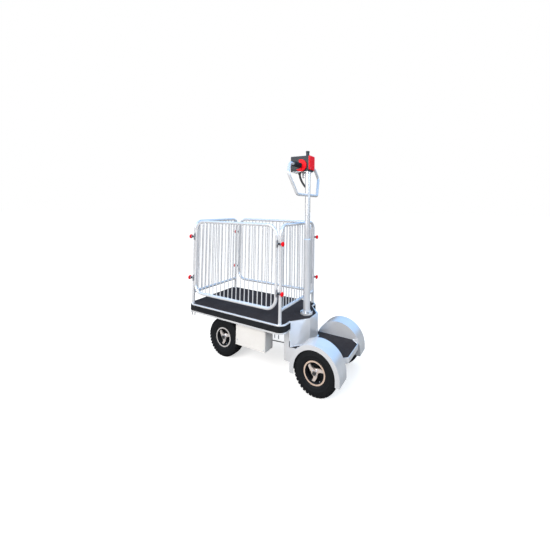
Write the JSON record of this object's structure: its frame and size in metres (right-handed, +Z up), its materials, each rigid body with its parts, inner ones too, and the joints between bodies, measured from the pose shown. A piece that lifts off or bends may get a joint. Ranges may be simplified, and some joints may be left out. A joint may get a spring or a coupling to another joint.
{
  "type": "stand-on electric cart",
  "caption": "Electric load cart with a caged deck on steered front wheels and a low rear platform where the driver stands behind a turning mast.",
  "frame": {"origin": "on the ground, under the middle of the bounding box", "axes": "+X forward to the load deck's free end, +Y left, +Z up"},
  "size_m": [1.442, 0.636, 1.7729],
  "materials": {
    "frame_paint": "semi-gloss pale grey paint",
    "battery_paint": "semi-gloss off-white paint",
    "mat_rubber": "fine anti-slip texture",
    "bumper_rubber": "matt",
    "axle_steel": "satin black",
    "motor_paint": "satin black",
    "ear_paint": "satin grey",
    "latch_black": "matt",
    "knob_red": "gloss",
    "zinc": "zinc plated",
    "grip_rubber": "matt",
    "box_black": "fine grain",
    "tyre_rubber": "matt",
    "rim_alloy": "polished"
  },
  "bodies": {
    "chassis": {"deck_frame": "frame_paint", "deck_mat": "mat_rubber", "bumper": "bumper_rubber", "column_cover": "frame_paint", "rear_chassis": "frame_paint", "platform_mat": "mat_rubber", "fenders": "frame_paint", "battery_boxes": "battery_paint", "rear_axle": "axle_steel", "drive_motor": "motor_paint", "front_axle": "axle_steel", "rear_end_tube": "frame_paint", "rear_end_grille": "frame_paint", "front_end_tube": "frame_paint", "front_end_grille": "frame_paint", "latch_pins": "latch_black", "latch_knobs": "knob_red", "corner_hooks": "zinc", "mast_flange": "frame_paint"},
    "mast": {"mast": "frame_paint", "handle_loop": "frame_paint", "grips": "grip_rubber", "control_box": "box_black", "red_cap": "knob_red", "throttle_paddle": "knob_red", "top_knob": "box_black", "head_bracket": "zinc", "conduit": "box_black", "key_switch": "zinc"},
    "knuckle_left": {"knuckle_left": "axle_steel"},
    "gate_left": {"gate_left": "frame_paint", "gate_ears_left": "ear_paint"},
    "wheel_rear_left": {"tyre_rear_left": "tyre_rubber", "rim_rear_left": "rim_alloy"},
    "wheel_front_left": {"tyre_front_left": "tyre_rubber", "rim_front_left": "rim_alloy"},
    "knuckle_right": {"knuckle_right": "axle_steel"},
    "gate_right": {"gate_right": "frame_paint", "gate_ears_right": "ear_paint"},
    "wheel_rear_right": {"tyre_rear_right": "tyre_rubber", "rim_rear_right": "rim_alloy"},
    "wheel_front_right": {"tyre_front_right": "tyre_rubber", "rim_front_right": "rim_alloy"},
    "tie_rod": {"tie_rod": "zinc"},
    "drag_link": {"drag_link": "zinc"}
  },
  "joints": [
    {"name": "mast_turn", "type": "hinge", "parent": "chassis", "child": "mast", "pos_m": [-0.323, 0, 0.5], "axis": [0, 0, 1], "range_deg": [-30, 30]},
    {"name": "knuckle_left_steer", "type": "hinge", "parent": "chassis", "child": "knuckle_left", "pos_m": [0.384, 0.082, 0.165], "axis": [0, 0, 1], "range_deg": [-30, 30]},
    {"name": "gate_left_drop", "type": "hinge", "parent": "chassis", "child": "gate_left", "pos_m": [-0.323, 0.3, 0.66], "axis": [-1, 0, 0], "range_deg": [0, 160]},
    {"name": "wheel_rear_left_spin", "type": "hinge", "parent": "chassis", "child": "wheel_rear_left", "pos_m": [-0.531, 0.241, 0.165], "axis": [0, 1, 0], "continuous": true},
    {"name": "wheel_front_left_spin", "type": "hinge", "parent": "knuckle_left", "child": "wheel_front_left", "pos_m": [0.384, 0.155, 0.165], "axis": [0, 1, 0], "continuous": true},
    {"name": "knuckle_right_steer", "type": "hinge", "parent": "chassis", "child": "knuckle_right", "pos_m": [0.384, -0.082, 0.165], "axis": [0, 0, 1], "range_deg": [-30, 30]},
    {"name": "gate_right_drop", "type": "hinge", "parent": "chassis", "child": "gate_right", "pos_m": [-0.323, -0.3, 0.66], "axis": [1, 0, 0], "range_deg": [0, 160]},
    {"name": "wheel_rear_right_spin", "type": "hinge", "parent": "chassis", "child": "wheel_rear_right", "pos_m": [-0.531, -0.241, 0.165], "axis": [0, 1, 0], "continuous": true},
    {"name": "wheel_front_right_spin", "type": "hinge", "parent": "knuckle_right", "child": "wheel_front_right", "pos_m": [0.384, -0.155, 0.165], "axis": [0, 1, 0], "continuous": true},
    {"name": "tie_rod_swing", "type": "hinge", "parent": "knuckle_left", "child": "tie_rod", "pos_m": [0.314, 0.082, 0.223], "axis": [0, 0, 1], "range_deg": [-30, 30]},
    {"name": "drag_link_swing", "type": "hinge", "parent": "mast", "child": "drag_link", "pos_m": [-0.323, -0.07, 0.131], "axis": [0, 0, 1], "range_deg": [-30, 30]}
  ],
  "couplings": [
    {"joint": "knuckle_left_steer", "follows": "mast_turn", "ratio": 1},
    {"joint": "knuckle_right_steer", "follows": "mast_turn", "ratio": 1},
    {"joint": "tie_rod_swing", "follows": "mast_turn", "ratio": -1},
    {"joint": "drag_link_swing", "follows": "mast_turn", "ratio": -1}
  ]
}
